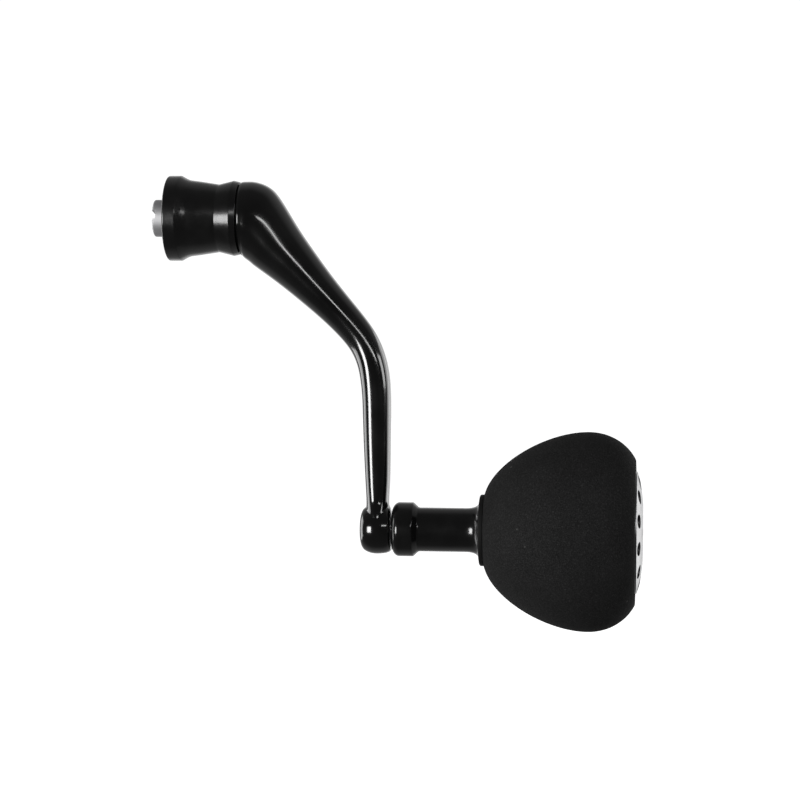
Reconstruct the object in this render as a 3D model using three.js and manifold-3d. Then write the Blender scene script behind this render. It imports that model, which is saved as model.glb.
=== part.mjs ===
// Screw-in crank handle of a fishing reel: a threaded drive screw and bell-shaped collar at one end, a
// one-piece cranked arm, and a round foam power knob that spins on two ball bearings at the other end.
// Units are millimetres. +X runs from the reel outwards, along both the drive axis and the knob axis; +Z is up.
// The origin is on the drive axis, in the plane of the bell collar's mouth, and the knob hangs below it.

import * as THREE from "three";
import { mergeVertices } from "three/addons/utils/BufferGeometryUtils.js";
import Module from "manifold-3d";

const wasm = await Module();
wasm.setup();

// ---------- driving dimensions ----------
const CRANK_RADIUS = 75; // drive axis to knob axis
const MOUTH_RADIUS = 10.22; // bell collar, outside, at its mouth
const RIM_RADIUS = 10.38; // bell collar's widest circle
const WAIST_RADIUS = 8.23; // bell collar's narrowest circle
const RIDGE_RADIUS = 9.12; // ridge between the waist and the arm
const SCREW_TIP_RADIUS = 4.5; // smooth pilot of the drive screw
const THREAD_RADIUS = 4.95; // drive thread, over its crests
const TAIL_RADIUS = 3; // drive screw's tail, inside the arm
const HEAD_FACE_X = 17.9; // arm's face against the seat washer
const HEAD_RADIUS = 8.7; // arm's round face there
const EYE_LEFT_X = 47.7; // arm's eye, outer end
const EYE_FACE_X = 55.15; // arm's eye, flat face towards the knob
const EYE_RADIUS = 5.9;
const NECK_LEFT_X = 55.5; // knob neck, free end
const COLLAR_RADIUS = 6.5; // swollen part of the neck, over the front bearing
const NECK_RADIUS = 5.3;
const STOP_RING_X = 76.6; // foam stop ring, front face
const STOP_RING_RADIUS = 8.6;
const FOAM_FRONT_X = 77.8;
const FOAM_BACK_X = 113.85;
const FOAM_RADIUS = 23.92; // widest circle of the foam grip
const CAP_RADIUS = 14.6;
const CAP_FACE_X = 115.6; // outermost plane of the handle
const VENT_COUNT = 12;
const VENT_RADIUS = 1.65;
const VENT_CIRCLE_RADIUS = 12.4;
const JOURNAL_RADIUS = 2.5; // knob axle, under the bearings
const BEARING_LENGTH = 3;
const FRONT_BEARING_X = 56.1;
const REAR_BEARING_X = 85.5;
const BALL_COUNT = 8;
const BALL_RADIUS = 0.5;
const BALL_CIRCLE_RADIUS = 3.6;
const GAP = 0.08; // between pieces that touch
const FINE = 32; // sides of a large turned piece
const COARSE = 20; // sides of a small turned piece
const OVERSHOOT = 1; // how far a cutter runs past the surface it opens

// ---------- materials ----------
const finish = (color, roughness, metalness) =>
  new THREE.MeshStandardMaterial({ color, roughness, metalness });
const glossBlack = finish(0x0b0b0c, 0.2, 0.3);
const satinBlack = finish(0x121213, 0.38, 0.6);
const foamBlack = finish(0x161617, 0.95, 0);
const plasticBlack = finish(0x141414, 0.7, 0);
const rubberBlack = finish(0x0c0c0c, 0.8, 0);
const silver = finish(0xb9babc, 0.4, 1);
const steel = finish(0x9c9d9f, 0.35, 1);
const bearingSteel = finish(0xc4c5c8, 0.15, 1);

// ---------- tools of the trade ----------
// A turned piece about X: its outline is a list of [x, radius], outside first from left to right,
// then inside from right to left. An outline that starts on the axis is a solid of revolution.
function turned(outline, sides = COARSE) {
  const points = outline.map(([x, radius]) => new THREE.Vector2(radius, x));
  if (outline[0][1] > 0) points.push(points[0].clone());
  return new THREE.LatheGeometry(points, sides).rotateZ(-Math.PI / 2);
}

// Points of a cubic curve from start to end, leaving out start.
function curved(start, pullStart, pullEnd, end, steps) {
  const vectors = [start, pullStart, pullEnd, end].map(([x, radius]) => new THREE.Vector2(x, radius));
  const curve = new THREE.CubicBezierCurve(...vectors);
  return curve.getPoints(steps).slice(1).map((p) => [p.x, p.y]);
}

// A straight bar along X with flat sides, for screw sockets: a hexagon is 6 sides.
function prismAlongX(radius, fromX, toX, sides) {
  const bar = new THREE.CylinderGeometry(radius, radius, toX - fromX, sides);
  return bar.rotateZ(-Math.PI / 2).translate((fromX + toX) / 2, 0, 0);
}

function toSolid(geometry) {
  const bare = geometry.index ? geometry.toNonIndexed() : geometry.clone();
  bare.deleteAttribute("normal");
  bare.deleteAttribute("uv");
  const merged = mergeVertices(bare, 1e-4);
  return new wasm.Manifold(
    new wasm.Mesh({
      numProp: 3,
      vertProperties: merged.attributes.position.array,
      triVerts: new Uint32Array(merged.index.array),
    }),
  );
}

function fromSolid(solid) {
  const mesh = solid.getMesh();
  const geometry = new THREE.BufferGeometry();
  geometry.setAttribute("position", new THREE.BufferAttribute(mesh.vertProperties, mesh.numProp));
  geometry.setIndex(new THREE.BufferAttribute(mesh.triVerts, 1));
  return geometry;
}

function cut(geometry, ...cutters) {
  const left = cutters.reduce((solid, cutter) => solid.subtract(toSolid(cutter)), toSolid(geometry));
  return fromSolid(left);
}

function joined(...geometries) {
  return fromSolid(geometries.map(toSolid).reduce((whole, piece) => whole.add(piece)));
}

function piece(name, geometry, material) {
  const mesh = new THREE.Mesh(geometry, material);
  mesh.name = name;
  return mesh;
}

// ---------- drive end ----------
const WEB_X = 10.6; // floor of the bell, which the screw's flange clamps
const BELL_BACK_X = 17.52;

// Bell-shaped collar: a rim, a cove, a long taper to the waist, then a ridge against the arm.
function bellCollar() {
  return turned(
    [
      [0, 8.85],
      [0, MOUTH_RADIUS - 0.4],
      [0.45, MOUTH_RADIUS],
      [3.1, RIM_RADIUS],
      [4.2, 9.73],
      [5.4, 9.27],
      [12.4, WAIST_RADIUS],
      [16.05, RIDGE_RADIUS],
      [BELL_BACK_X, 8.78],
      [BELL_BACK_X, TAIL_RADIUS + 0.3],
      [WEB_X, TAIL_RADIUS + 0.3],
      [WEB_X, 7.1],
      [5.3, 7.9],
      [1, 8.55],
    ],
    FINE,
  );
}

// Drive screw: slotted smooth pilot, thread, sealing groove, flange, and a plain tail that the arm holds.
function driveScrew() {
  const tipX = -3.6;
  const grooveX = 7.4;
  const flangeX = 8.9;
  const flangeBackX = WEB_X - GAP;
  const tailEndX = 24.5;
  const body = turned(
    [
      [tipX, 0],
      [tipX, SCREW_TIP_RADIUS - 0.4],
      [tipX + 0.4, SCREW_TIP_RADIUS],
      [1.2, SCREW_TIP_RADIUS],
      [1.5, 4.1],
      [2.3, 4.1],
      [2.9, THREAD_RADIUS],
      [grooveX, THREAD_RADIUS],
      [grooveX, 3.9],
      [flangeX, 3.9],
      [flangeX, 5.9],
      [flangeBackX, 5.9],
      [flangeBackX, TAIL_RADIUS],
      [tailEndX - 0.5, TAIL_RADIUS],
      [tailEndX, TAIL_RADIUS - 0.5],
      [tailEndX, 0],
    ],
    COARSE,
  );
  const slotDepth = 0.9;
  const slotWidth = 2;
  const slotTurn = THREE.MathUtils.degToRad(-9);
  const slot = new THREE.BoxGeometry(slotDepth + OVERSHOOT, 4 * SCREW_TIP_RADIUS, slotWidth);
  slot.translate(tipX + (slotDepth - OVERSHOOT) / 2, 0, 0).rotateX(slotTurn);
  return cut(body, slot);
}

// An O-ring about X, given the middle of its section.
function oRing(x, circleRadius, sectionRadius) {
  return new THREE.TorusGeometry(circleRadius, sectionRadius, 6, COARSE).rotateY(Math.PI / 2).translate(x, 0, 0);
}

function seatWasher() {
  const frontX = BELL_BACK_X + GAP;
  const backX = HEAD_FACE_X - GAP;
  const outer = 8.2;
  const inner = TAIL_RADIUS + 0.3;
  return turned([[frontX, inner], [frontX, outer], [backX, outer], [backX, inner]]);
}

// ---------- crank arm ----------
// Stations of the arm's middle line, from its head to inside its eye. lean is the angle above the horizontal,
// in degrees, of the line across the arm there; width and depth are half sizes across it and front to back.
const ARM_STATIONS = [
  { x: HEAD_FACE_X, z: 0, lean: 90, width: HEAD_RADIUS, depth: HEAD_RADIUS },
  { x: 20.3, z: -0.45, lean: 79, width: 9.25, depth: 8.74 },
  { x: 22.4, z: -1.6, lean: 71, width: 9.13, depth: 8.55 },
  { x: 24.31, z: -3.8, lean: 61, width: 8.16, depth: 8.2 },
  { x: 26.83, z: -7.11, lean: 48, width: 7.01, depth: 7.7 },
  { x: 31.62, z: -12.09, lean: 44, width: 5.81, depth: 6.95 },
  { x: 36.5, z: -17.12, lean: 44, width: 4.87, depth: 6.2 },
  { x: 41.22, z: -21.94, lean: 43.5, width: 4.21, depth: 5.45 },
  { x: 45.32, z: -26.4, lean: 41, width: 3.86, depth: 4.87 },
  { x: 48.2, z: -30.33, lean: 33, width: 3.68, depth: 4.58 },
  { x: 50, z: -34.52, lean: 20, width: 3.58, depth: 4.5 },
  { x: 50.91, z: -38.83, lean: 9, width: 3.53, depth: 4.47 },
  { x: 51.33, z: -44, lean: 2, width: 3.41, depth: 4.42 },
  { x: 51.5, z: -52, lean: 0, width: 3.28, depth: 4.33 },
  { x: 51.72, z: -61, lean: 0, width: 3.03, depth: 4.22 },
  { x: 51.78, z: -65.5, lean: 0, width: 2.82, depth: 4.18 },
  { x: 51.8, z: -68, lean: 0, width: 2.72, depth: 4.25 },
  { x: 51.82, z: -69.6, lean: 0, width: 2.76, depth: 4.6 },
  { x: 51.84, z: -71.2, lean: 0, width: 2.88, depth: 5.2 },
  { x: 51.85, z: -73, lean: 0, width: 3, depth: 5.5 },
];

// The arm's bar: a unit cylinder whose rings are moved to the stations, as ellipses.
function taperedBar(stations, sides) {
  const rings = stations.length - 1;
  const bar = new THREE.CylinderGeometry(1, 1, rings, sides, rings);
  const position = bar.attributes.position;
  for (let i = 0; i < position.count; i++) {
    const ring = Math.round(rings / 2 - position.getY(i));
    const { x, z, lean, width, depth } = stations[ring];
    const across = position.getX(i) * width;
    const angle = THREE.MathUtils.degToRad(lean);
    position.setXYZ(i, x + across * Math.cos(angle), -position.getZ(i) * depth, z + across * Math.sin(angle));
  }
  return bar;
}

// The eye: a barrel about the knob axis, more curved at its outer end, flat towards the knob.
function eyeBarrel() {
  const middleX = 52.15;
  const halfLength = middleX - EYE_LEFT_X;
  const fullness = 3; // exponent of the barrel's outline: 2 is an ellipse
  const steps = 10;
  const outline = [];
  for (let i = 0; i <= steps; i++) {
    const along = -Math.cos((Math.PI * i) / steps);
    const radius = EYE_RADIUS * (1 - Math.abs(along) ** fullness) ** (1 / fullness);
    outline.push([middleX + halfLength * along, Math.max(radius, 0)]);
  }
  return turned(outline, COARSE).translate(0, 0, -CRANK_RADIUS);
}

const SET_SCREW_X = 21.3;
const SET_SCREW_RADIUS = 2;

function crankArm() {
  const blank = joined(taperedBar(ARM_STATIONS, 24), eyeBarrel());
  const socket = prismAlongX(TAIL_RADIUS + 0.1, HEAD_FACE_X - OVERSHOOT, 24.7, COARSE);
  const screwHole = new THREE.CylinderGeometry(SET_SCREW_RADIUS + 0.1, SET_SCREW_RADIUS + 0.1, 10, COARSE);
  screwHole.translate(SET_SCREW_X, 5.6, 0);
  const axleHole = prismAlongX(2.1, EYE_LEFT_X - OVERSHOOT, EYE_FACE_X + OVERSHOOT, COARSE);
  const rivetSink = prismAlongX(2.85, EYE_LEFT_X - OVERSHOOT, 49.35, COARSE);
  const endCut = new THREE.BoxGeometry(4, 4 * EYE_RADIUS, 4 * EYE_RADIUS).translate(EYE_FACE_X + 2, 0, 0);
  const atKnob = [axleHole, rivetSink, endCut].map((cutter) => cutter.translate(0, 0, -CRANK_RADIUS));
  return cut(blank, socket, screwHole, ...atKnob);
}

// Set screw in the back of the arm's head, which locks the drive screw's tail: along Y, with a hexagon socket.
function setScrew() {
  const innerY = TAIL_RADIUS + 0.2;
  const outerY = 8.2;
  const bar = prismAlongX(SET_SCREW_RADIUS, innerY, outerY, COARSE);
  const socket = prismAlongX(1.15, outerY - 2, outerY + OVERSHOOT, 6);
  return cut(bar, socket).rotateZ(Math.PI / 2).translate(SET_SCREW_X, 0, 0);
}

// ---------- knob axle and bearings (drawn about X, then moved to the knob axis) ----------
const AXLE_END_X = 88.3;
const RIVET_X = 48.15;
const FLANGE_X = EYE_FACE_X + GAP;
const SCREW_BORE_X = 80.8; // bottom of the axle's threaded hole
const SPACER_RADIUS = 3.2;
const RACE_BORE = JOURNAL_RADIUS + GAP;

// Knob axle: riveted into the eye at its left, with a flange against the eye and a tapped end.
function knobAxle() {
  const rivetBackX = 49.3;
  return turned([
    [RIVET_X, 0],
    [RIVET_X, 2.3],
    [RIVET_X + 0.4, 2.75],
    [rivetBackX, 2.75],
    [rivetBackX, 2],
    [FLANGE_X, 2],
    [FLANGE_X, 3.5],
    [FRONT_BEARING_X - GAP, 3.5],
    [FRONT_BEARING_X - GAP, JOURNAL_RADIUS],
    [AXLE_END_X, JOURNAL_RADIUS],
    [AXLE_END_X, 1.62],
    [SCREW_BORE_X, 1.62],
    [SCREW_BORE_X, 0],
  ]);
}

// Half of a groove that leaves room round the balls, as [offset along x, radius], for one bearing race.
function grooveProfile(side) {
  const room = BALL_RADIUS + 0.1;
  const faceOffset = side * 0.35; // from the ball circle to the race's face
  const reach = Math.acos(Math.abs(faceOffset) / room);
  return [-1, -0.35, 0.35, 1].map((share) => {
    const angle = reach * share;
    return [room * Math.sin(angle), BALL_CIRCLE_RADIUS + side * room * Math.cos(angle)];
  });
}

function innerRace(leftX) {
  const middleX = leftX + BEARING_LENGTH / 2;
  const rightX = leftX + BEARING_LENGTH;
  const face = BALL_CIRCLE_RADIUS - 0.35;
  const groove = grooveProfile(-1).map(([x, radius]) => [middleX + x, radius]);
  return turned([[leftX, RACE_BORE], [leftX, face], ...groove, [rightX, face], [rightX, RACE_BORE]]);
}

function outerRace(leftX) {
  const middleX = leftX + BEARING_LENGTH / 2;
  const rightX = leftX + BEARING_LENGTH;
  const face = BALL_CIRCLE_RADIUS + 0.35;
  const groove = grooveProfile(1).map(([x, radius]) => [middleX - x, radius]);
  return turned([[leftX, face], [leftX, 4.42], [rightX, 4.42], [rightX, face], ...groove]);
}

// Balls with the ribbon that spaces them, as one piece.
function ballCage(leftX) {
  const middleX = leftX + BEARING_LENGTH / 2;
  const halfRibbon = 0.3;
  const ribbon = turned([
    [middleX - halfRibbon, BALL_CIRCLE_RADIUS - 0.15],
    [middleX - halfRibbon, BALL_CIRCLE_RADIUS + 0.15],
    [middleX + halfRibbon, BALL_CIRCLE_RADIUS + 0.15],
    [middleX + halfRibbon, BALL_CIRCLE_RADIUS - 0.15],
  ]);
  const balls = Array.from({ length: BALL_COUNT }, (_, i) => {
    const ball = new THREE.SphereGeometry(BALL_RADIUS, 6, 5);
    return ball.translate(middleX, 0, BALL_CIRCLE_RADIUS).rotateX((2 * Math.PI * i) / BALL_COUNT);
  });
  return joined(ribbon, ...balls);
}

function sleeve(fromX, toX, inner, outer) {
  return turned([[fromX, inner], [fromX, outer], [toX, outer], [toX, inner]]);
}

const WASHER_X = REAR_BEARING_X + BEARING_LENGTH + GAP;
const WASHER_BACK_X = WASHER_X + 0.5;

// Cap screw that holds the rear bearing on the axle.
function axleScrew() {
  const headX = WASHER_BACK_X + GAP;
  const headBackX = headX + 2;
  const body = turned([
    [SCREW_BORE_X + 0.6, 0],
    [SCREW_BORE_X + 0.6, 1.5],
    [headX, 1.5],
    [headX, 2.9],
    [headBackX - 0.3, 2.9],
    [headBackX, 2.6],
    [headBackX, 0],
  ]);
  return cut(body, prismAlongX(1.45, headBackX - 1.3, headBackX + OVERSHOOT, 6));
}

// ---------- knob ----------
const RACE_SEAT = 4.5; // bore for an outer race
const SPIGOT_RADIUS = 4.95; // neck's thread inside the core
const SPIGOT_END_X = 84.9;

// Neck of the knob: collar over the front bearing, tube, and a flare against the stop ring.
function knobNeck() {
  const flareX = 73.1;
  const flareEndX = STOP_RING_X - GAP;
  return turned(
    [
      [NECK_LEFT_X, RACE_SEAT],
      [NECK_LEFT_X, 4.85],
      [NECK_LEFT_X + 0.35, 5.55],
      [NECK_LEFT_X + 1.25, COLLAR_RADIUS],
      [60.5, COLLAR_RADIUS],
      [61.85, NECK_RADIUS],
      [flareX, NECK_RADIUS],
      ...curved([flareX, NECK_RADIUS], [74.9, NECK_RADIUS], [76.2, 5.7], [flareEndX, 6.95], 4),
      [flareEndX, SPIGOT_RADIUS],
      [SPIGOT_END_X, SPIGOT_RADIUS],
      [SPIGOT_END_X, 3.5],
      [FRONT_BEARING_X + BEARING_LENGTH + GAP, 3.5],
      [FRONT_BEARING_X + BEARING_LENGTH + GAP, RACE_SEAT],
    ],
    FINE,
  );
}

function foamStopRing() {
  const backX = FOAM_FRONT_X - GAP;
  return turned(
    [
      [STOP_RING_X, SPIGOT_RADIUS + GAP],
      [STOP_RING_X, STOP_RING_RADIUS - 0.5],
      [STOP_RING_X + 0.5, STOP_RING_RADIUS],
      [backX, STOP_RING_RADIUS],
      [backX, SPIGOT_RADIUS + GAP],
    ],
    FINE,
  );
}

// Outside of the core, from the stop ring to the cup's rim. The foam's bore follows it.
const CORE_FRONT_X = FOAM_FRONT_X;
const CUP_RADIUS = 15;
const CORE_OUTSIDE = [
  [CORE_FRONT_X, 6.6],
  [91, 6.6],
  [95, 7.8],
  [104.5, CUP_RADIUS],
];
const CUP_RIM_X = 113.5;

// Core: a central tube that holds the neck and the rear bearing, with a cup round it under the end cap.
function knobCore() {
  const tubeEndX = 112.85;
  const tubeRadius = 6.4;
  const tubeBore = 5;
  const cupBore = 14.15;
  return turned(
    [
      [CORE_FRONT_X, SPIGOT_RADIUS + GAP],
      ...CORE_OUTSIDE,
      [CUP_RIM_X, CUP_RADIUS],
      [CUP_RIM_X, cupBore],
      [105.2, cupBore],
      [97.4, 8.2],
      [97.4, tubeRadius],
      [tubeEndX, tubeRadius],
      [tubeEndX, tubeBore],
      [89.4, tubeBore],
      [89.4, RACE_SEAT],
      [REAR_BEARING_X - GAP, RACE_SEAT],
      [REAR_BEARING_X - GAP, 3.7],
      [SPIGOT_END_X + GAP, 3.7],
      [SPIGOT_END_X + GAP, SPIGOT_RADIUS + GAP],
    ],
    FINE,
  );
}

// Foam grip: a domed bulb, small at the neck, widest near its flat outer end, bored to fit the core.
function foamGrip() {
  const frontRadius = 9.1;
  const backRadius = 17.3;
  const widestX = 102.6;
  const bore = [...CORE_OUTSIDE].reverse().map(([x, radius]) => [x, radius + GAP]);
  return turned(
    [
      [FOAM_FRONT_X, frontRadius],
      ...curved([FOAM_FRONT_X, frontRadius], [80, 16.5], [92.6, FOAM_RADIUS], [widestX, FOAM_RADIUS], 9),
      ...curved([widestX, FOAM_RADIUS], [107.8, FOAM_RADIUS], [112, 21.1], [FOAM_BACK_X, backRadius], 6),
      [FOAM_BACK_X, CUP_RADIUS + GAP],
      ...bore,
    ],
    FINE,
  );
}

const PLUG_SEAT_X = 114.55; // floor of the cap's recess
const PLUG_RECESS_RADIUS = 6.3;
const PLUG_HOLE_RADIUS = 5.05;

// End cap: a shallow dome with a ring of vent holes over the cup, clamped by the centre plug.
function endCap() {
  const backX = CUP_RIM_X + GAP;
  const body = turned(
    [
      [backX, CAP_RADIUS],
      [114.2, CAP_RADIUS],
      [114.45, CAP_RADIUS - 0.45],
      [114.93, 12.2],
      [115.45, 8.6],
      [CAP_FACE_X, 6.8],
      [CAP_FACE_X, PLUG_RECESS_RADIUS],
      [PLUG_SEAT_X, PLUG_RECESS_RADIUS],
      [PLUG_SEAT_X, PLUG_HOLE_RADIUS],
      [112.95, PLUG_HOLE_RADIUS],
      [112.95, 7.5],
      [backX, 7.5],
    ],
    FINE,
  );
  const vents = Array.from({ length: VENT_COUNT }, (_, i) => {
    const vent = prismAlongX(VENT_RADIUS, backX - OVERSHOOT, CAP_FACE_X + OVERSHOOT, 12);
    return vent.translate(0, 0, VENT_CIRCLE_RADIUS).rotateX((2 * Math.PI * (i + 0.5)) / VENT_COUNT);
  });
  return cut(body, ...vents);
}

// Centre plug: closes the way to the axle screw and clamps the cap on the core's tube.
function centrePlug() {
  const headRadius = PLUG_RECESS_RADIUS - 0.12;
  const headX = PLUG_SEAT_X + GAP;
  const stemRadius = 4.9;
  const body = turned([
    [108.5, 0],
    [108.5, 4.4],
    [109, stemRadius],
    [111.2, stemRadius],
    [111.2, 4],
    [112.4, 4],
    [112.4, stemRadius],
    [headX, stemRadius],
    [headX, headRadius],
    [CAP_FACE_X - 0.25, headRadius],
    [CAP_FACE_X, headRadius - 0.25],
    [CAP_FACE_X, 0],
  ]);
  const slotDepth = 0.7;
  const slot = new THREE.BoxGeometry(slotDepth + OVERSHOOT, 7.6, 1.6);
  slot.translate(CAP_FACE_X + (OVERSHOOT - slotDepth) / 2, 0, 0);
  return cut(body, slot);
}

// ---------- assembly ----------
const handle = new THREE.Group();

const driveEnd = new THREE.Group();
driveEnd.add(
  piece("drive_screw", driveScrew(), steel),
  piece("screw_o_ring", oRing(8.15, 4.65, 0.68), rubberBlack),
  piece("bell_collar", bellCollar(), satinBlack),
  piece("seat_washer", seatWasher(), rubberBlack),
  piece("crank_arm", crankArm(), glossBlack),
  piece("set_screw", setScrew(), steel),
);

const knobAxis = new THREE.Group();
knobAxis.position.z = -CRANK_RADIUS;
knobAxis.add(
  piece("knob_axle", knobAxle(), steel),
  piece("front_inner_race", innerRace(FRONT_BEARING_X), bearingSteel),
  piece("front_ball_cage", ballCage(FRONT_BEARING_X), bearingSteel),
  piece("front_outer_race", outerRace(FRONT_BEARING_X), bearingSteel),
  piece(
    "bearing_spacer",
    sleeve(FRONT_BEARING_X + BEARING_LENGTH + GAP, REAR_BEARING_X - GAP, RACE_BORE, SPACER_RADIUS),
    silver,
  ),
  piece("rear_inner_race", innerRace(REAR_BEARING_X), bearingSteel),
  piece("rear_ball_cage", ballCage(REAR_BEARING_X), bearingSteel),
  piece("rear_outer_race", outerRace(REAR_BEARING_X), bearingSteel),
  piece("axle_washer", sleeve(WASHER_X, WASHER_BACK_X, 1.62, SPACER_RADIUS), steel),
  piece("axle_screw", axleScrew(), steel),
  piece("neck_dust_seal", sleeve(NECK_LEFT_X + 0.1, FRONT_BEARING_X - GAP, 3.65, RACE_SEAT - GAP), rubberBlack),
  piece("knob_neck", knobNeck(), glossBlack),
  piece("foam_stop_ring", foamStopRing(), plasticBlack),
  piece("knob_core", knobCore(), satinBlack),
  piece("foam_grip", foamGrip(), foamBlack),
  piece("end_cap", endCap(), silver),
  piece("centre_plug", centrePlug(), silver),
  piece("plug_o_ring", oRing(111.8, 4.5, 0.44), rubberBlack),
);

handle.add(driveEnd, knobAxis);
export default handle;
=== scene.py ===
# %% [markdown]
# # A screw-in reel handle with a foam power knob
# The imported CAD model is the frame: it says where every piece is and which body it rides on. This lesson
# dresses it. Turned pieces are spun from their outlines, the arm is a row of rings bridged together, and
# each finish is a small set of procedural nodes. The drive axis is X, the knob hangs 75 mm below it, and
# lengths are written in millimetres and multiplied by MM.

# %% Load the frame
import math

import bmesh
import bpy
from mathutils import Matrix, Vector
from mathutils.geometry import interpolate_bezier


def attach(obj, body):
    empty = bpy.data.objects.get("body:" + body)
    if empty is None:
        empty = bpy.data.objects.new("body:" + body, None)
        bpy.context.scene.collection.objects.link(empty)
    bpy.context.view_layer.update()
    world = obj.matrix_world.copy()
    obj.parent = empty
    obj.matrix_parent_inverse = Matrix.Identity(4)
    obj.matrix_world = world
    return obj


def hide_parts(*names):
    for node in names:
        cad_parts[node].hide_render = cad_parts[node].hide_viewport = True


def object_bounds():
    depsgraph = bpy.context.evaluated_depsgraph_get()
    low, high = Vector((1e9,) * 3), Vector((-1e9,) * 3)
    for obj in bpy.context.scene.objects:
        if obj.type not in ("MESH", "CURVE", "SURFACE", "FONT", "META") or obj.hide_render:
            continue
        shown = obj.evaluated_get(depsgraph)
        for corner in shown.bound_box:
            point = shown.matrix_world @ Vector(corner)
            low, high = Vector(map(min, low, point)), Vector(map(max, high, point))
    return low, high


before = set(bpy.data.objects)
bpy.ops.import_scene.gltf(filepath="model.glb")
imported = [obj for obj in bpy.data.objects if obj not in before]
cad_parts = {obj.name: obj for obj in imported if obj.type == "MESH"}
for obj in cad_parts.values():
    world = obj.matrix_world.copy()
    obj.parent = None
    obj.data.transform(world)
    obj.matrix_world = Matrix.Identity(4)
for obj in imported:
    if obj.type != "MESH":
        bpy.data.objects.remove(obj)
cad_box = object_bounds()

MM = 0.001
MICRON = 0.001 * MM
KNOB_AXIS = -75 * MM
print("CAD box in mm:", [[round(v / MM, 2) for v in corner] for corner in cad_box])

# %% [markdown]
# ## Camera
# A 108 mm lens a little over half a metre away sees the handle almost as a drawing would. The camera looks
# level, six degrees round from straight in front, so that the round faces of the bell and the cap show as
# narrow bows, and it is rolled by half a degree. Its matrix is built from three directions: right, up and
# back.

# %% Camera
AZIMUTH = math.radians(6.33)
ROLL = math.radians(0.5)
DISTANCE = 579.5 * MM
LENS = 108
SENSOR = 36
AIM_SHIFT = Vector((0.96, 0, 0.43)) * MM

low, high = (Vector(corner) for corner in cad_box)
aim = (low + high) / 2 + AIM_SHIFT
aim.y = 0
back = Vector((math.sin(AZIMUTH), -math.cos(AZIMUTH), 0))
level = Vector((math.cos(AZIMUTH), math.sin(AZIMUTH), 0))
right = level * math.cos(ROLL) + Vector((0, 0, 1)) * math.sin(ROLL)
up = back.cross(right)

camera_data = bpy.data.cameras.new("camera")
camera_data.lens = LENS
camera_data.sensor_width = SENSOR
camera = bpy.data.objects.new("camera", camera_data)
place = Matrix((right, up, back)).transposed().to_4x4()
place.translation = aim + back * DISTANCE
camera.matrix_world = place
bpy.context.scene.collection.objects.link(camera)
bpy.context.scene.camera = camera
print("camera at", [round(v, 4) for v in place.translation])

# %% [markdown]
# ## Light
# Black gloss shows nothing of itself: all one sees is what it mirrors. So the room is planned as a set of
# reflections. It is dark on the camera's side, which keeps the faces black, and lighter towards the back,
# which gives each edge its pale rim. Tall panels at the left and the right draw the stripes on the shank, a
# softbox left of the camera makes the patch on the bell's flare, and a small lamp right of the camera draws
# the thin line down the arm.

# %% Room
# Each stop is (depth, grey), and depth runs from -1 on the camera's side to 1 behind the handle.
ROOM_BRIGHTNESS = [(-1.0, 0.04), (0.0, 0.1), (0.3, 0.26), (0.8, 0.36), (0.9, 1.0)]
BACKDROP_BRIGHTNESS = 1.05

world = bpy.data.worlds.new("studio")
bpy.context.scene.world = world
world.use_nodes = True
nodes, links = world.node_tree.nodes, world.node_tree.links
nodes.clear()
direction = nodes.new("ShaderNodeTexCoord")
parts = nodes.new("ShaderNodeSeparateXYZ")
links.new(direction.outputs["Generated"], parts.inputs[0])
backwards = nodes.new("ShaderNodeMapRange")
backwards.inputs["From Min"].default_value = -1
backwards.inputs["From Max"].default_value = 1
links.new(parts.outputs["Y"], backwards.inputs["Value"])
brightness = nodes.new("ShaderNodeValToRGB")
stops = brightness.color_ramp.elements
while len(stops) < len(ROOM_BRIGHTNESS):
    stops.new(0.5)
for stop, (depth, grey) in zip(stops, ROOM_BRIGHTNESS):
    stop.position = (depth + 1) / 2
    stop.color = (grey, grey, grey, 1)
links.new(backwards.outputs["Result"], brightness.inputs["Fac"])
reflected = nodes.new("ShaderNodeBackground")
links.new(brightness.outputs["Color"], reflected.inputs["Color"])
seen = nodes.new("ShaderNodeBackground")
seen.inputs["Color"].default_value = (1, 1, 1, 1)
seen.inputs["Strength"].default_value = BACKDROP_BRIGHTNESS
ray = nodes.new("ShaderNodeLightPath")
chosen = nodes.new("ShaderNodeMixShader")
links.new(ray.outputs["Is Camera Ray"], chosen.inputs["Fac"])
links.new(reflected.outputs[0], chosen.inputs[1])
links.new(seen.outputs[0], chosen.inputs[2])
room_output = nodes.new("ShaderNodeOutputWorld")
links.new(chosen.outputs[0], room_output.inputs["Surface"])
bpy.context.scene.view_settings.view_transform = "Standard"
print("room brightness from front to back:", [grey for _, grey in ROOM_BRIGHTNESS])

# %% Lamps
LAMP_DISTANCE = 1300 * MM


def lamp(name, around, height, glow):
    """A lamp that fills a patch of the room, as the handle sees it, with that much glow.

    around is a pair of angles in degrees, to the right of the camera, and height a pair above it.
    """
    turn, lift = (math.radians(sum(pair) / 2) for pair in (around, height))
    turn += AZIMUTH
    spread = [2 * LAMP_DISTANCE * math.tan(math.radians(end - start) / 2) for start, end in (around, height)]
    towards = Vector((math.sin(turn) * math.cos(lift), -math.cos(turn) * math.cos(lift), math.sin(lift)))
    data = bpy.data.lights.new(name, "AREA")
    data.shape = "RECTANGLE"
    data.size, data.size_y = spread
    data.energy = glow * math.pi * spread[0] * spread[1]
    light = bpy.data.objects.new(name, data)
    light.rotation_euler = towards.to_track_quat("Z", "Y").to_euler()
    light.location = aim + towards * LAMP_DISTANCE
    light.visible_camera = False
    bpy.context.scene.collection.objects.link(light)
    print(f"{name}: {spread[0]:.2f} x {spread[1]:.2f} m")


lamp("arm_lamp", (5, 31), (14, 18), 12)
lamp("softbox", (-48, -29), (-15, 9), 21)
lamp("left_panel", (-127, -86), (-25, 25), 4.2)
lamp("right_panel", (60, 88), (5, 24), 6.5)
lamp("right_back_panel", (110, 148), (-28, 25), 1.7)

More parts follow.
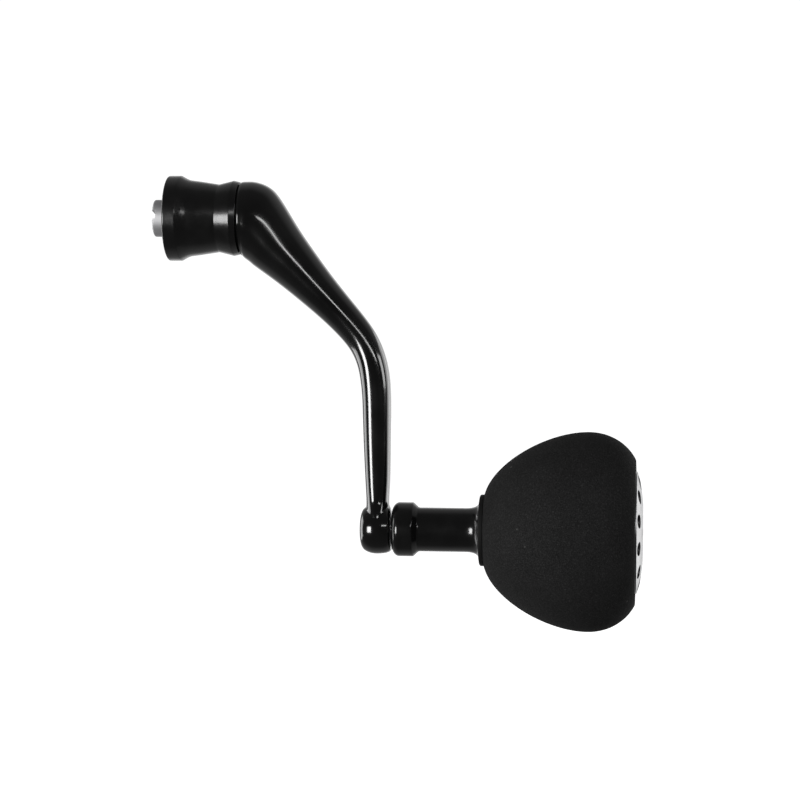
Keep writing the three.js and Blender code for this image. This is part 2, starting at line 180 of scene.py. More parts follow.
# %% [markdown]
# ## Floor
# The handle is normally held up by its reel, so the floor lies well below it. It is plain and pale, glows a
# little so that it meets the pale room without a line, and takes no part in the reflections.

# %% Floor
FLOOR_HEIGHT = -200 * MM
FLOOR_REACH = 20000 * MM
FLOOR_GLOW = 0.9

bm = bmesh.new()
bmesh.ops.create_grid(bm, x_segments=8, y_segments=8, size=FLOOR_REACH)
bmesh.ops.translate(bm, verts=bm.verts, vec=(0, 0, FLOOR_HEIGHT))
floor_mesh = bpy.data.meshes.new("floor")
bm.to_mesh(floor_mesh)
bm.free()
floor = bpy.data.objects.new("floor", floor_mesh)
bpy.context.scene.collection.objects.link(floor)
for kind in ("glossy", "diffuse", "shadow"):
    setattr(floor, "visible_" + kind, False)
pale = bpy.data.materials.new("pale_floor")
pale.use_nodes = True
paint = pale.node_tree.nodes["Principled BSDF"]
paint.inputs["Base Color"].default_value = (0.9, 0.9, 0.9, 1)
paint.inputs["Roughness"].default_value = 0.8
paint.inputs["Emission Color"].default_value = (1, 1, 1, 1)
paint.inputs["Emission Strength"].default_value = FLOOR_GLOW
floor.data.materials.append(pale)
print("floor at", FLOOR_HEIGHT, "m")

# %% [markdown]
# ## Finishes
# Every finish starts from the same few nodes: Object coordinates, a Mapping that stretches them, and a
# Noise that varies roughness, colour or height. Object coordinates are in metres and stay put on the piece,
# so a Noise scale of 1000 has grains of about a millimetre.

# %% Finish helpers
def new_finish(name, color, roughness, metallic=0.0):
    """A material with its Principled shader set, and the nodes and links to build on."""
    material = bpy.data.materials.new(name)
    material.use_nodes = True
    shader = material.node_tree.nodes["Principled BSDF"]
    shader.inputs["Base Color"].default_value = (*color, 1)
    shader.inputs["Roughness"].default_value = roughness
    shader.inputs["Metallic"].default_value = metallic
    print("finish:", name)
    return material, material.node_tree.nodes, material.node_tree.links, shader


def place_pattern(nodes, links, stretch=(1, 1, 1), centre=(0, 0, 0)):
    """Object coordinates, moved to a centre and stretched. Returns the output socket."""
    coordinates = nodes.new("ShaderNodeTexCoord")
    mapping = nodes.new("ShaderNodeMapping")
    mapping.inputs["Location"].default_value = [-c * s for c, s in zip(centre, stretch)]
    mapping.inputs["Scale"].default_value = stretch
    links.new(coordinates.outputs["Object"], mapping.inputs["Vector"])
    return mapping.outputs["Vector"]


def noise(nodes, links, where, scale, detail=2.0, rough=0.5):
    """A Noise texture's grey output."""
    texture = nodes.new("ShaderNodeTexNoise")
    texture.inputs["Scale"].default_value = scale
    texture.inputs["Detail"].default_value = detail
    texture.inputs["Roughness"].default_value = rough
    links.new(where, texture.inputs["Vector"])
    return texture.outputs["Fac"]


def between(nodes, links, value, low_value, high_value, low_at=0.3, high_at=0.7):
    """Maps a grey value onto a range."""
    spread = nodes.new("ShaderNodeMapRange")
    spread.inputs["From Min"].default_value = low_at
    spread.inputs["From Max"].default_value = high_at
    spread.inputs["To Min"].default_value = low_value
    spread.inputs["To Max"].default_value = high_value
    links.new(value, spread.inputs["Value"])
    return spread.outputs["Result"]


def ramp(nodes, links, value, *stops):
    """A colour ramp: each stop is (position, grey or colour)."""
    colors = nodes.new("ShaderNodeValToRGB")
    band = colors.color_ramp
    while len(band.elements) < len(stops):
        band.elements.new(0.5)
    for element, (position, color) in zip(band.elements, stops):
        element.position = position
        element.color = (*color, 1) if isinstance(color, tuple) else (color, color, color, 1)
    links.new(value, colors.inputs["Fac"])
    return colors.outputs["Color"]


def raise_surface(nodes, links, shader, height, depth, strength=1.0, under=None):
    """Adds a bump of that depth in metres. under is an earlier bump, if there is one."""
    bump = nodes.new("ShaderNodeBump")
    bump.inputs["Strength"].default_value = strength
    bump.inputs["Distance"].default_value = depth
    links.new(height, bump.inputs["Height"])
    if under is not None:
        links.new(under, bump.inputs["Normal"])
    links.new(bump.outputs["Normal"], shader.inputs["Normal"])
    return bump.outputs["Normal"]

# %% [markdown]
# ### Black finishes
# The forged arm has a thick gloss coat with the faint orange-peel that sprayed paint always keeps. The bell
# and the knob's neck are turned from bar and anodised black, so they are a little softer, with rings so
# fine that they only blur a highlight along the axis.

# %% Gloss coat of the arm
arm_black, nodes, links, shader = new_finish("arm_gloss_coat", (0.003, 0.003, 0.0034), 0.12)
shader.inputs["Coat Weight"].default_value = 0.3
shader.inputs["Coat Roughness"].default_value = 0.06
where = place_pattern(nodes, links)
cloudy = noise(nodes, links, where, 160, 3)
links.new(between(nodes, links, cloudy, 0.1, 0.17), shader.inputs["Roughness"])
links.new(ramp(nodes, links, cloudy, (0.3, 0.0025), (0.7, 0.004)), shader.inputs["Base Color"])
peel = noise(nodes, links, where, 1100, 2)
raise_surface(nodes, links, shader, peel, 2.5 * MICRON)


# %% Black anodising over turned metal
def anodised(name, low_rough, high_rough, depth):
    """Black anodising with lathe rings round the X axis."""
    material, nodes, links, shader = new_finish(name, (0.004, 0.004, 0.0045), low_rough)
    rings = noise(nodes, links, place_pattern(nodes, links, (1, 0.004, 0.004)), 9000, 3, 0.6)
    cloudy = noise(nodes, links, place_pattern(nodes, links), 220, 4)
    links.new(between(nodes, links, cloudy, low_rough, high_rough), shader.inputs["Roughness"])
    links.new(ramp(nodes, links, cloudy, (0.3, 0.003), (0.7, 0.005)), shader.inputs["Base Color"])
    raise_surface(nodes, links, shader, rings, depth)
    return material


bell_black = anodised("bell_anodising", 0.19, 0.26, 0.8 * MICRON)
neck_black = anodised("neck_anodising", 0.13, 0.19, 0.8 * MICRON)

# %% [markdown]
# ### Foam, plastic and rubber
# The grip is closed-cell foam, ground to shape: dark, dull, with open cells a few tenths of a millimetre
# across and a few pale flecks of dust. A Voronoi pattern gives the cells, and a second, coarser one with a
# sharp threshold picks out the flecks.

# %% Foam
foam_black, nodes, links, shader = new_finish("grip_foam", (0.012, 0.012, 0.012), 0.95)
shader.inputs["Specular IOR Level"].default_value = 0.06
where = place_pattern(nodes, links)
cells = nodes.new("ShaderNodeTexVoronoi")
cells.inputs["Scale"].default_value = 2600
links.new(where, cells.inputs["Vector"])
grain = noise(nodes, links, where, 3200, 4, 0.65)
cloudy = noise(nodes, links, where, 90, 4, 0.6)
grain_grey = ramp(nodes, links, grain, (0.3, 0.0065), (0.55, 0.0145), (0.72, 0.03))
mottled = nodes.new("ShaderNodeMix")
mottled.data_type = "RGBA"
mottled.blend_type = "MULTIPLY"
mottled.inputs["Factor"].default_value = 1
links.new(grain_grey, mottled.inputs["A"])
links.new(ramp(nodes, links, cloudy, (0.3, 0.8), (0.7, 1.0)), mottled.inputs["B"])
dust = nodes.new("ShaderNodeTexVoronoi")
dust.inputs["Scale"].default_value = 150
links.new(where, dust.inputs["Vector"])
fleck = between(nodes, links, dust.outputs["Distance"], 1, 0, 0.03, 0.055)
dusted = nodes.new("ShaderNodeMix")
dusted.data_type = "RGBA"
links.new(fleck, dusted.inputs["Factor"])
links.new(mottled.outputs["Result"], dusted.inputs["A"])
dusted.inputs["B"].default_value = (0.06, 0.06, 0.058, 1)
links.new(dusted.outputs["Result"], shader.inputs["Base Color"])
first = raise_surface(nodes, links, shader, grain, 60 * MICRON, 0.8)
raise_surface(nodes, links, shader, cells.outputs["Distance"], 50 * MICRON, 0.7, under=first)


# %% Plastic and rubber
def moulded(name, grey, rough, grain_scale, depth, shine=0.3):
    """A dull moulded surface with a fine texture."""
    material, nodes, links, shader = new_finish(name, (grey, grey, grey), rough)
    shader.inputs["Specular IOR Level"].default_value = shine
    where = place_pattern(nodes, links)
    texture = noise(nodes, links, where, grain_scale, 3, 0.6)
    links.new(between(nodes, links, texture, rough - 0.08, rough + 0.08), shader.inputs["Roughness"])
    links.new(ramp(nodes, links, texture, (0.3, grey * 0.8), (0.7, grey * 1.25)), shader.inputs["Base Color"])
    raise_surface(nodes, links, shader, texture, depth, 0.6)
    return material


ring_black = moulded("stop_ring_plastic", 0.007, 0.72, 2400, 20 * MICRON, 0.12)
core_black = moulded("core_plastic", 0.01, 0.6, 1500, 10 * MICRON)
rubber_black = moulded("seal_rubber", 0.008, 0.7, 1800, 10 * MICRON)

# %% [markdown]
# ### Bare metal
# Metal takes its colour in reflection, so Metallic is 1 and the base colour is pale. Turned faces carry
# rings: on the cap and the plug they run round the knob's axis across the flat face, so the pattern follows
# the distance from that axis as well as X.

# %% Metal
def bare_metal(name, grey, low_rough, high_rough, axis_height, depth):
    """Turned metal: rings round an axis along X at that height."""
    material, nodes, links, shader = new_finish(name, grey, low_rough, 1.0)
    centred = place_pattern(nodes, links, centre=(0, 0, axis_height))
    flat = nodes.new("ShaderNodeVectorMath")
    flat.operation = "MULTIPLY"
    flat.inputs[1].default_value = (0, 1, 1)
    links.new(centred, flat.inputs[0])
    radius = nodes.new("ShaderNodeVectorMath")
    radius.operation = "LENGTH"
    links.new(flat.outputs[0], radius.inputs[0])
    split = nodes.new("ShaderNodeSeparateXYZ")
    links.new(centred, split.inputs[0])
    along = nodes.new("ShaderNodeCombineXYZ")
    links.new(radius.outputs["Value"], along.inputs["X"])
    links.new(split.outputs["X"], along.inputs["Y"])
    rings = noise(nodes, links, along.outputs[0], 7000, 3, 0.6)
    cloudy = noise(nodes, links, centred, 300, 4)
    dark = tuple(c * 0.9 for c in grey)
    links.new(ramp(nodes, links, cloudy, (0.3, dark), (0.7, grey)), shader.inputs["Base Color"])
    links.new(between(nodes, links, cloudy, low_rough, high_rough), shader.inputs["Roughness"])
    raise_surface(nodes, links, shader, rings, depth)
    return material


cap_silver = bare_metal("cap_satin_metal", (0.23, 0.23, 0.233), 0.26, 0.34, KNOB_AXIS, 3 * MICRON)
spacer_metal = bare_metal("spacer_satin_metal", (0.72, 0.72, 0.74), 0.26, 0.36, KNOB_AXIS, 2 * MICRON)
set_screw_metal = bare_metal("set_screw_satin_metal", (0.6, 0.6, 0.61), 0.2, 0.3, 0, 2 * MICRON)
drive_steel = bare_metal("drive_screw_steel", (0.5, 0.5, 0.507), 0.6, 0.68, 0, 3 * MICRON)
pin_steel = bare_metal("pin_steel", (0.55, 0.55, 0.56), 0.25, 0.35, KNOB_AXIS, 2 * MICRON)
bearing_steel = bare_metal("bearing_steel", (0.66, 0.66, 0.68), 0.08, 0.14, KNOB_AXIS, 0.5 * MICRON)

# %% [markdown]
# ## Turning a piece
# Almost everything here comes off a lathe, so one helper does most of the work: it draws half an outline as
# a wire, rounds the corners that ask for it with a vertex bevel, and spins the wire once round the axis. An
# outline point is (x, radius) or (x, radius, rounding), and the outline runs clockwise from the left end.

# %% Modelling helpers
HOLD = 0.08 * MM  # a long straight stretch gets an extra ring this close to each end, which keeps it flat
ROUNDING_STEPS = 5
MERGE_DISTANCE = 0.5 * MICRON


def turned(outline, axis_height=0.0, steps=128):
    """Spins an outline round an axis along X. An outline that starts on the axis is left open there."""
    bm = bmesh.new()
    corners = [bm.verts.new((x * MM, 0, radius * MM)) for x, radius, *_ in outline]
    ends = list(zip(corners, corners[1:]))
    if outline[0][1] > 0:
        ends.append((corners[-1], corners[0]))
    for pair in ends:
        bm.edges.new(pair)
    for corner, (_, _, *rounding) in zip(corners, outline):
        if rounding:
            bmesh.ops.bevel(
                bm, geom=[corner], offset=rounding[0] * MM, offset_type="OFFSET", affect="VERTICES",
                segments=ROUNDING_STEPS, profile=0.5, material=-1,
            )
    for edge in [e for e in bm.edges if e.calc_length() > 6 * HOLD]:
        for end in edge.verts[:]:
            if end in edge.verts:
                bmesh.utils.edge_split(edge, end, HOLD / edge.calc_length())
    bmesh.ops.spin(
        bm, geom=bm.verts[:] + bm.edges[:], cent=(0, 0, 0), axis=(1, 0, 0), dvec=(0, 0, 0),
        angle=math.tau, steps=steps, use_merge=True, use_duplicate=False,
    )
    bmesh.ops.remove_doubles(bm, verts=bm.verts, dist=MERGE_DISTANCE)
    bmesh.ops.translate(bm, verts=bm.verts, vec=(0, 0, axis_height))
    return bm


def curve_points(start, pull_start, pull_end, end, count):
    """Points along a cubic curve in the outline's plane, without the first."""
    knots = [Vector((*p, 0)) for p in (start, pull_start, pull_end, end)]
    return [(p.x, p.y) for p in interpolate_bezier(*knots, count + 1)[1:]]


def shade(bm, crease):
    """Merges doubles, turns the faces outwards, and keeps edges sharp only past the crease angle."""
    bmesh.ops.remove_doubles(bm, verts=bm.verts, dist=MERGE_DISTANCE)
    bmesh.ops.recalc_face_normals(bm, faces=bm.faces)
    for face in bm.faces:
        face.smooth = True
    for edge in bm.edges:
        edge.smooth = not edge.is_manifold or edge.calc_face_angle() < math.radians(crease)


def object_of(bm, name, crease=32):
    """Makes an object of a bmesh, with its faces shaded, and frees the bmesh."""
    shade(bm, crease)
    mesh = bpy.data.meshes.new(name)
    bm.to_mesh(mesh)
    bm.free()
    made = bpy.data.objects.new(name, mesh)
    bpy.context.scene.collection.objects.link(made)
    return made


def combine(base, operation, *tools):
    """Applies exact booleans to an object and removes the tool objects."""
    for tool in tools:
        modifier = base.modifiers.new("boolean", "BOOLEAN")
        modifier.operation = operation
        modifier.solver = "EXACT"
        modifier.object = tool
    bpy.context.view_layer.update()
    evaluated = base.evaluated_get(bpy.context.evaluated_depsgraph_get())
    result = bpy.data.meshes.new_from_object(evaluated)
    base.modifiers.clear()
    old = base.data
    base.data = result
    bpy.data.meshes.remove(old)
    for tool in tools:
        bpy.data.objects.remove(tool)


def reshade(piece, crease=32):
    """Sorts out smooth and sharp edges again after a boolean."""
    bm = bmesh.new()
    bm.from_mesh(piece.data)
    shade(bm, crease)
    bm.to_mesh(piece.data)
    bm.free()


def hang(piece, body, slot, material, *nodes_replaced):
    """Gives a piece its finish and its body, and hides the CAD nodes that it stands for. The slot argument is
    not used.
    """
    piece.data.materials.clear()
    piece.data.materials.append(material)
    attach(piece, body)
    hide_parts(*nodes_replaced)
    size = [round(s / MM, 2) for s in piece.dimensions]
    print(f"{piece.name}: {len(piece.data.polygons)} faces, {size} mm, on {body}")


def rod(radius, start, end, sides=64):
    """A plain bar from start to end, for a cutter, in millimetres."""
    first, last = Vector(start) * MM, Vector(end) * MM
    along = last - first
    bm = bmesh.new()
    turn = along.to_track_quat("Z", "Y").to_matrix().to_4x4()
    bmesh.ops.create_cone(
        bm, cap_ends=True, segments=sides, radius1=radius * MM, radius2=radius * MM, depth=along.length,
        matrix=Matrix.Translation((first + last) / 2) @ turn,
    )
    return bm


def block(size, middle):
    """A box of that size round a middle point, for a cutter, in millimetres."""
    bm = bmesh.new()
    bmesh.ops.create_cube(bm, size=1)
    bmesh.ops.scale(bm, verts=bm.verts, vec=Vector(size) * MM)
    bmesh.ops.translate(bm, verts=bm.verts, vec=Vector(middle) * MM)
    return bm

# %% [markdown]
# ## Bell collar
# The collar slides over the reel's boss and hides the thread. It is turned in one piece: a rounded lip, a
# straight band, a chamfer that runs into a cove, a long taper to a crisp waist, then a cone out to a ridge
# and back in to the arm. The waist and the ridge get hardly any rounding, the lip gets more, and the cove
# is a curve.

# %% Bell collar
bell = object_of(
    turned(
        [
            (0, 8.85, 0.2),
            (0, 10.34, 0.4),
            (3.1, 10.34, 0.12),
            (4.2, 9.73),
            *curve_points((4.2, 9.73), (4.75, 9.45), (5.1, 9.29), (5.9, 9.18), 6),
            (8.05, 8.9),
            (12.4, 8.23, 0.15),
            (16.05, 9.12, 0.12),
            (17.52, 8.78, 0.15),
            (17.52, 3.3),
            (10.6, 3.3),
            (10.6, 7.1, 0.5),
            (5.3, 7.9, 1),
            (1, 8.55, 0.3),
        ],
        steps=160,
    ),
    "bell",
    crease=24,
)
hang(bell, "arm", "bell_black", bell_black, "bell_collar")

# %% [markdown]
# ## Drive screw
# This is what the reel's gear takes hold of: a smooth pilot with a coin slot, a thread, a groove for the
# O-ring, and a flange against the floor of the bell. The thread is the section of one small ridge, spun
# round while it moves along, which makes a helix. The slot is cut with a box, turned a little round the
# axis.

# %% Drive screw
PILOT_TIP = -3.6
SLOT_DEPTH = 0.95
SLOT_LENGTH = 12
SLOT_WIDTH = 2
SLOT_TURN = math.radians(-9)

screw = object_of(
    turned(
        [
            (PILOT_TIP, 0),
            (PILOT_TIP, 4.5, 0.45),
            (1.2, 4.5, 0.1),
            (1.5, 4.1, 0.1),
            (2.3, 4.1),
            (2.7, 4.35),
            (7.1, 4.35),
            (7.4, 3.9, 0.1),
            (8.9, 3.9, 0.1),
            (8.9, 5.9, 0.2),
            (10.52, 5.9),
            (10.52, 3),
            (24.5, 3, 0.4),
            (24.5, 0),
        ],
        steps=96,
    ),
    "screw",
)
bm = block((2 * SLOT_DEPTH, SLOT_LENGTH, SLOT_WIDTH), (PILOT_TIP, 0, 0))
bmesh.ops.rotate(bm, verts=bm.verts, matrix=Matrix.Rotation(SLOT_TURN, 3, "X"))
combine(screw, "DIFFERENCE", object_of(bm, "slot_cutter"))

# %% Thread of the drive screw
THREAD_START = 2.75
THREAD_SECTION = [(-0.4, 4.3), (-0.06, 4.93), (0.06, 4.93), (0.4, 4.3)]
THREAD_PITCH = 0.9
THREAD_TURNS = 4.4
TURN_STEPS = 64

bm = bmesh.new()
section = [bm.verts.new(Vector((THREAD_START + x, 0, radius)) * MM) for x, radius in THREAD_SECTION]
ridge = bm.faces.new(section)
bmesh.ops.spin(
    bm, geom=[ridge], cent=(0, 0, 0), axis=(1, 0, 0), dvec=(THREAD_PITCH / TURN_STEPS * MM, 0, 0),
    angle=math.tau * THREAD_TURNS, steps=int(TURN_STEPS * THREAD_TURNS), use_merge=False, use_duplicate=False,
)
thread = object_of(bm, "thread")
bm = bmesh.new()
bm.from_mesh(screw.data)
bm.from_mesh(thread.data)
bm.to_mesh(screw.data)
bm.free()
bpy.data.objects.remove(thread)
reshade(screw)
hang(screw, "arm", "screw_steel", drive_steel, "drive_screw")

# %% [markdown]
# ## Crank arm
# The arm is forged: round where it takes the drive screw, then a long taper that bends twice and ends in an
# eye. Each station gives the middle of a section, the lean of the line across it, its two half sizes, and
# the exponent of its outline: 2 is an ellipse, and the shank's 2.9 is flatter in front with fuller corners.
# A smooth spline through the stations places many rings, and bridging joins each ring to the next. A smooth
# spline matters here, because gloss black shows every bump.

# %% Stations of the crank arm
# Each row is x, z, lean in degrees, half width, half depth, exponent.
STATIONS = [
    (17.9, 0, 90, 8.74, 8.55, 2),
    (18.1, -0.01, 89, 8.86, 8.67, 2),
    (18.35, -0.03, 88, 8.94, 8.72, 2),
    (19.2, -0.12, 85, 9.08, 8.74, 2),
    (20.3, -0.45, 79, 9.25, 8.74, 2),
    (22.4, -1.6, 71, 9.13, 8.55, 2),
    (24.31, -3.8, 61, 8.16, 8.2, 2),
    (26.83, -7.11, 48, 7.01, 7.7, 2),
    (31.62, -12.09, 44, 5.81, 6.95, 2),
    (36.5, -17.12, 44, 4.87, 6.2, 2),
    (41.22, -21.94, 43.5, 4.21, 5.45, 2),
    (45.32, -26.4, 41, 3.86, 4.87, 2.05),
    (48.2, -30.33, 33, 3.68, 4.58, 2.2),
    (50, -34.52, 20, 3.58, 4.5, 2.45),
    (50.91, -38.83, 9, 3.53, 4.47, 2.75),
    (51.33, -44, 2, 3.41, 4.42, 2.9),
    (51.5, -52, 0, 3.28, 4.33, 2.9),
    (51.72, -61, 0, 3.03, 4.22, 2.9),
    (51.78, -65.5, 0, 2.82, 4.18, 2.8),
    (51.8, -68, 0, 2.72, 4.25, 2.6),
    (51.82, -69.6, 0, 2.76, 4.6, 2.4),
    (51.84, -71.2, 0, 2.88, 5.2, 2.2),
    (51.85, -73, 0, 3, 5.5, 2.1),
]
print("stations:", len(STATIONS))

# %% [markdown]
# A B-spline only passes near its control points. The stations are its first controls, and in each fitting
# round every control moves by as much as the curve misses its station.

# %% Spline through the stations
def ends_added(points):
    """The points with one more at each end, carried on in a straight line."""
    ahead = [2 * a - b for a, b in zip(points[0], points[1])]
    beyond = [2 * a - b for a, b in zip(points[-1], points[-2])]
    return [ahead, *points, beyond]


def spline_point(controls, position):
    """A point on the cubic B-spline of the controls; position counts controls from the first."""
    index = min(int(position), len(controls) - 2)
    t = position - index
    weights = ((1 - t) ** 3, 3 * t**3 - 6 * t**2 + 4, -3 * t**3 + 3 * t**2 + 3 * t + 1, t**3)
    four = ends_added(controls)[index : index + 4]
    return [sum(w * point[k] for w, point in zip(weights, four)) / 6 for k in range(len(controls[0]))]


FITTING_ROUNDS = 3
controls = [list(station) for station in STATIONS]
for _ in range(FITTING_ROUNDS):
    reached = [spline_point(controls, index) for index in range(len(STATIONS))]
    controls = [
        [c + wanted - got for c, wanted, got in zip(*row)] for row in zip(controls, STATIONS, reached)
    ]
print("fitting rounds:", FITTING_ROUNDS)

# %% Rings of the crank arm
RINGS_PER_SPAN = 6
RING_POINTS = 96
HEAD_ROUNDING = 0.3 * MM

ring_count = (len(STATIONS) - 1) * RINGS_PER_SPAN
bm = bmesh.new()
loops = []
for ring in range(ring_count + 1):
    x, z, lean, width, depth, exponent = spline_point(controls, ring / RINGS_PER_SPAN)
    angle = math.radians(lean)
    across = Vector((math.cos(angle), 0, math.sin(angle)))
    along = Vector((math.sin(angle), 0, -math.cos(angle)))
    sideways = along.cross(across)
    placed = Matrix((across * width, sideways * depth, along)).transposed().to_4x4()
    placed.translation = Vector((x, 0, z))
    circle = bmesh.ops.create_circle(bm, cap_ends=ring in (0, ring_count), segments=RING_POINTS, radius=1)
    for vert in circle["verts"]:
        swell = (abs(vert.co.x) ** exponent + abs(vert.co.y) ** exponent) ** (-1 / exponent)
        vert.co = placed @ (vert.co * swell) * MM
    loops.append(circle["verts"])
for one, other in zip(loops, loops[1:]):
    ends = set(one) | set(other)
    rims = [e for v in ends for e in v.link_edges if set(e.verts) <= set(one) or set(e.verts) <= set(other)]
    bmesh.ops.bridge_loops(bm, edges=list(set(rims)))
head_rim = [e for e in bm.edges if all(v in set(loops[0]) for v in e.verts)]
bmesh.ops.bevel(
    bm, geom=head_rim, offset=HEAD_ROUNDING, offset_type="OFFSET", affect="EDGES",
    segments=4, profile=0.5, material=-1,
)
arm = object_of(bm, "arm")
print("arm rings:", ring_count + 1)

# %% [markdown]
# The eye is a barrel round the knob's axis, rounder at its outer end and nearly flat where it meets the
# knob. It is joined to the arm with a boolean, which leaves a hard line where the two meet. Relaxing only
# the points near that line gives the small fillet that a forging has.

# %% Eye of the arm
eye_outline = [(47.7, 0), (47.7, 2)]
eye_outline += curve_points((47.7, 2), (47.72, 3.9), (48.1, 4.85), (49.0, 5.37), 14)
eye_outline += curve_points((49.0, 5.37), (49.85, 5.83), (50.7, 6.03), (51.6, 6.03), 10)
eye_outline += curve_points((51.6, 6.03), (52.9, 6.03), (54.2, 5.9), (54.95, 5.4), 12)
eye_outline += [(55.15, 5.1), (55.15, 0)]
eye = object_of(turned(eye_outline, KNOB_AXIS, steps=96), "eye")
combine(arm, "UNION", eye)

# %% Fillet between the arm and the eye
SEAM_BOTTOM, SEAM_TOP = -71.5, -66
SEAM_ANGLE = math.radians(20)
FILLET_BOTTOM, FILLET_TOP = -73, -65
FILLET_REACH = 0.8
FILLET_ROUNDS = 10

bm = bmesh.new()
bm.from_mesh(arm.data)
seam = []
for edge in bm.edges:
    middle = (edge.verts[0].co + edge.verts[1].co) / 2 / MM
    if edge.is_manifold and SEAM_BOTTOM < middle.z < SEAM_TOP and edge.calc_face_angle() > SEAM_ANGLE:
        seam.append(middle)
near = [
    v for v in bm.verts
    if FILLET_BOTTOM < v.co.z / MM < FILLET_TOP
    and any((v.co / MM - point).length < FILLET_REACH for point in seam)
]
for _ in range(FILLET_ROUNDS):
    bmesh.ops.smooth_vert(bm, verts=near, factor=0.5, use_axis_x=True, use_axis_y=True, use_axis_z=True)
bm.to_mesh(arm.data)
bm.free()
print("seam points:", len(seam), "relaxed:", len(near))

# %% [markdown]
# The holes come last, so that the relaxing doesn't round their rims: the knob's axle and its rivet head go
# through the eye, the drive screw sits in a socket in the head, and the set screw comes in from the back to
# lock it.

# %% Holes in the crank arm
# Each hole is its radius, its start and its end.
knob_z = KNOB_AXIS / MM
holes = {
    "rivet_cutter": (2.85, (46, 0, knob_z), (49.35, 0, knob_z)),
    "axle_cutter": (2.1, (46, 0, knob_z), (57, 0, knob_z)),
    "set_screw_cutter": (2.1, (21.3, 1, 0), (21.3, 12, 0)),
    "socket_cutter": (3.1, (16, 0, 0), (24.7, 0, 0)),
}
combine(arm, "DIFFERENCE", *(object_of(rod(*hole), name) for name, hole in holes.items()))
reshade(arm, crease=40)
hang(arm, "arm", "arm_black", arm_black, "crank_arm")

# %% [markdown]
# ## Knob neck
# A turned sleeve: a collar over the front bearing with chamfers at both ends, a plain tube, and a flare
# that swells to meet the stop ring.

# %% Knob neck
neck = object_of(
    turned(
        [
            (55.5, 4.5),
            (55.5, 4.95, 0.1),
            (55.75, 5.6, 0.2),
            (56.45, 6.54, 0.7),
            (60.5, 6.54, 0.18),
            (61.85, 5.3, 0.25),
            (73.1, 5.3),
            *curve_points((73.1, 5.3), (74.9, 5.3), (76.2, 5.7), (76.52, 6.95), 12),
            (76.52, 4.95),
            (84.9, 4.95),
            (84.9, 3.5),
            (59.18, 3.5),
            (59.18, 4.5),
        ],
        KNOB_AXIS,
    ),
    "neck",
    crease=28,
)
hang(neck, "knob", "neck_black", neck_black, "knob_neck")

# %% [markdown]
# ## Foam stop ring
# A thin plastic ring closes the foam's end against the flare. It is a piece of its own on the real knob, so
# it is turned by itself and not as a step of the neck.

# %% Foam stop ring
stop_ring = object_of(
    turned([(76.6, 5.03), (76.6, 8.6, 0.4), (77.72, 8.6, 0.15), (77.72, 5.03)], KNOB_AXIS), "stop_ring"
)
hang(stop_ring, "knob", "ring_plastic", ring_black, "foam_stop_ring")

# %% [markdown]
# ## Foam grip
# The grip is ground from a block of foam: a dome that starts small at the neck, is widest near its outer
# end, and turns in to a flat face round the cap. Its two curves meet at the widest circle, where both run
# along the axis, so there is no kink. The foam's roughness is in its finish, so the shape itself stays
# smooth.

# %% Foam grip
WIDEST = (102.6, 23.9)
dome = curve_points((77.8, 9.1), (80, 16.5), (92.6, 23.9), WIDEST, 40)
shoulder = curve_points(WIDEST, (107.8, 23.9), (112, 21.1), (113.85, 17.3), 28)
grip = object_of(
    turned(
        [
            (77.8, 9.1, 0.1),
            *dome,
            *shoulder[:-1],
            (*shoulder[-1], 0.2),
            (113.85, 15.1),
            (104.46, 15.1),
            (95, 7.9),
            (91, 6.7),
            (77.8, 6.7),
        ],
        KNOB_AXIS,
        steps=192,
    ),
    "grip",
    crease=38,
)
hang(grip, "knob", "grip_foam", foam_black, "foam_grip")

# %% [markdown]
# ## End cap
# A shallow turned dome with a flat rim and a recess for the plug. Twelve drilled vents let the foam's cup
# drain, and each is cut with a plain rod. They start half a step round, so that none lies straight up.

# %% End cap
VENTS = 12
VENT_CIRCLE = 12.4
VENT_RADIUS = 1.65

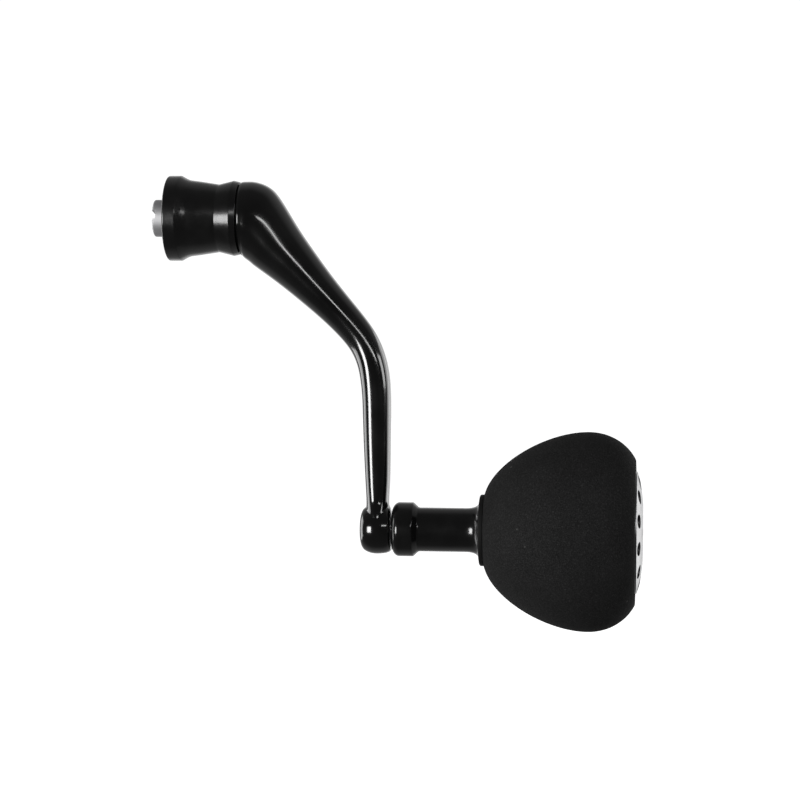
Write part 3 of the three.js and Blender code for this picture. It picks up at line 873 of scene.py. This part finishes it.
cap = object_of(
    turned(
        [
            (113.58, 7.5),
            (113.58, 14.6),
            (114.2, 14.6, 0.15),
            (114.4, 14.1, 0.3),
            (114.93, 12.2),
            (115.27, 10.1),
            (115.52, 7.9),
            (115.6, 6.8, 0.2),
            (115.6, 6.3, 0.12),
            (114.55, 6.3),
            (114.55, 5.05),
            (112.95, 5.05),
            (112.95, 7.5),
        ],
        KNOB_AXIS,
        steps=192,
    ),
    "cap",
    crease=24,
)
vents = []
for index in range(VENTS):
    turn = math.tau * (index + 0.5) / VENTS
    y = VENT_CIRCLE * math.sin(turn)
    z = knob_z + VENT_CIRCLE * math.cos(turn)
    vents.append(object_of(rod(VENT_RADIUS, (112, y, z), (117, y, z), 40), "vent_cutter"))
combine(cap, "DIFFERENCE", *vents)
reshade(cap, crease=24)
hang(cap, "knob", "cap_silver", cap_silver, "end_cap")

# %% [markdown]
# ## Centre plug
# The plug closes the hole through which the axle screw is reached. It is turned with a groove for its
# O-ring, and its coin slot is cut with a box, as the drive screw's is.

# %% Centre plug
PLUG_FACE = 115.6
PLUG_SLOT_DEPTH = 0.7
PLUG_SLOT_LENGTH = 7.6
PLUG_SLOT_WIDTH = 1.6

plug = object_of(
    turned(
        [
            (108.5, 0),
            (108.5, 4.4),
            (109, 4.9),
            (111.2, 4.9),
            (111.2, 4),
            (112.4, 4),
            (112.4, 4.9),
            (114.63, 4.9),
            (114.63, 6.18),
            (PLUG_FACE, 6.18, 0.2),
            (PLUG_FACE, 0),
        ],
        KNOB_AXIS,
    ),
    "plug",
)
slot = block((2 * PLUG_SLOT_DEPTH, PLUG_SLOT_LENGTH, PLUG_SLOT_WIDTH), (PLUG_FACE, 0, knob_z))
combine(plug, "DIFFERENCE", object_of(slot, "plug_slot_cutter"))
reshade(plug)
hang(plug, "knob", "cap_silver", cap_silver, "centre_plug")

# %% [markdown]
# ## Hidden works
# The bearings, the spacer, the axle and its screw, the core and the seals are right as they are in CAD.
# They only need their finishes, because a vent or the gap at the neck lets one glimpse them.

# %% Finishes on CAD nodes
finishes = {
    "screw_o_ring": rubber_black,
    "seat_washer": rubber_black,
    "set_screw": set_screw_metal,
    "knob_axle": pin_steel,
    "front_inner_race": bearing_steel,
    "front_ball_cage": bearing_steel,
    "front_outer_race": bearing_steel,
    "bearing_spacer": spacer_metal,
    "rear_inner_race": bearing_steel,
    "rear_ball_cage": bearing_steel,
    "rear_outer_race": bearing_steel,
    "axle_washer": pin_steel,
    "axle_screw": pin_steel,
    "neck_dust_seal": rubber_black,
    "knob_core": core_black,
    "plug_o_ring": rubber_black,
}
for name, material in finishes.items():
    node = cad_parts[name]
    node.data.materials.clear()
    node.data.materials.append(material)
print("CAD nodes with a finish:", len(finishes))
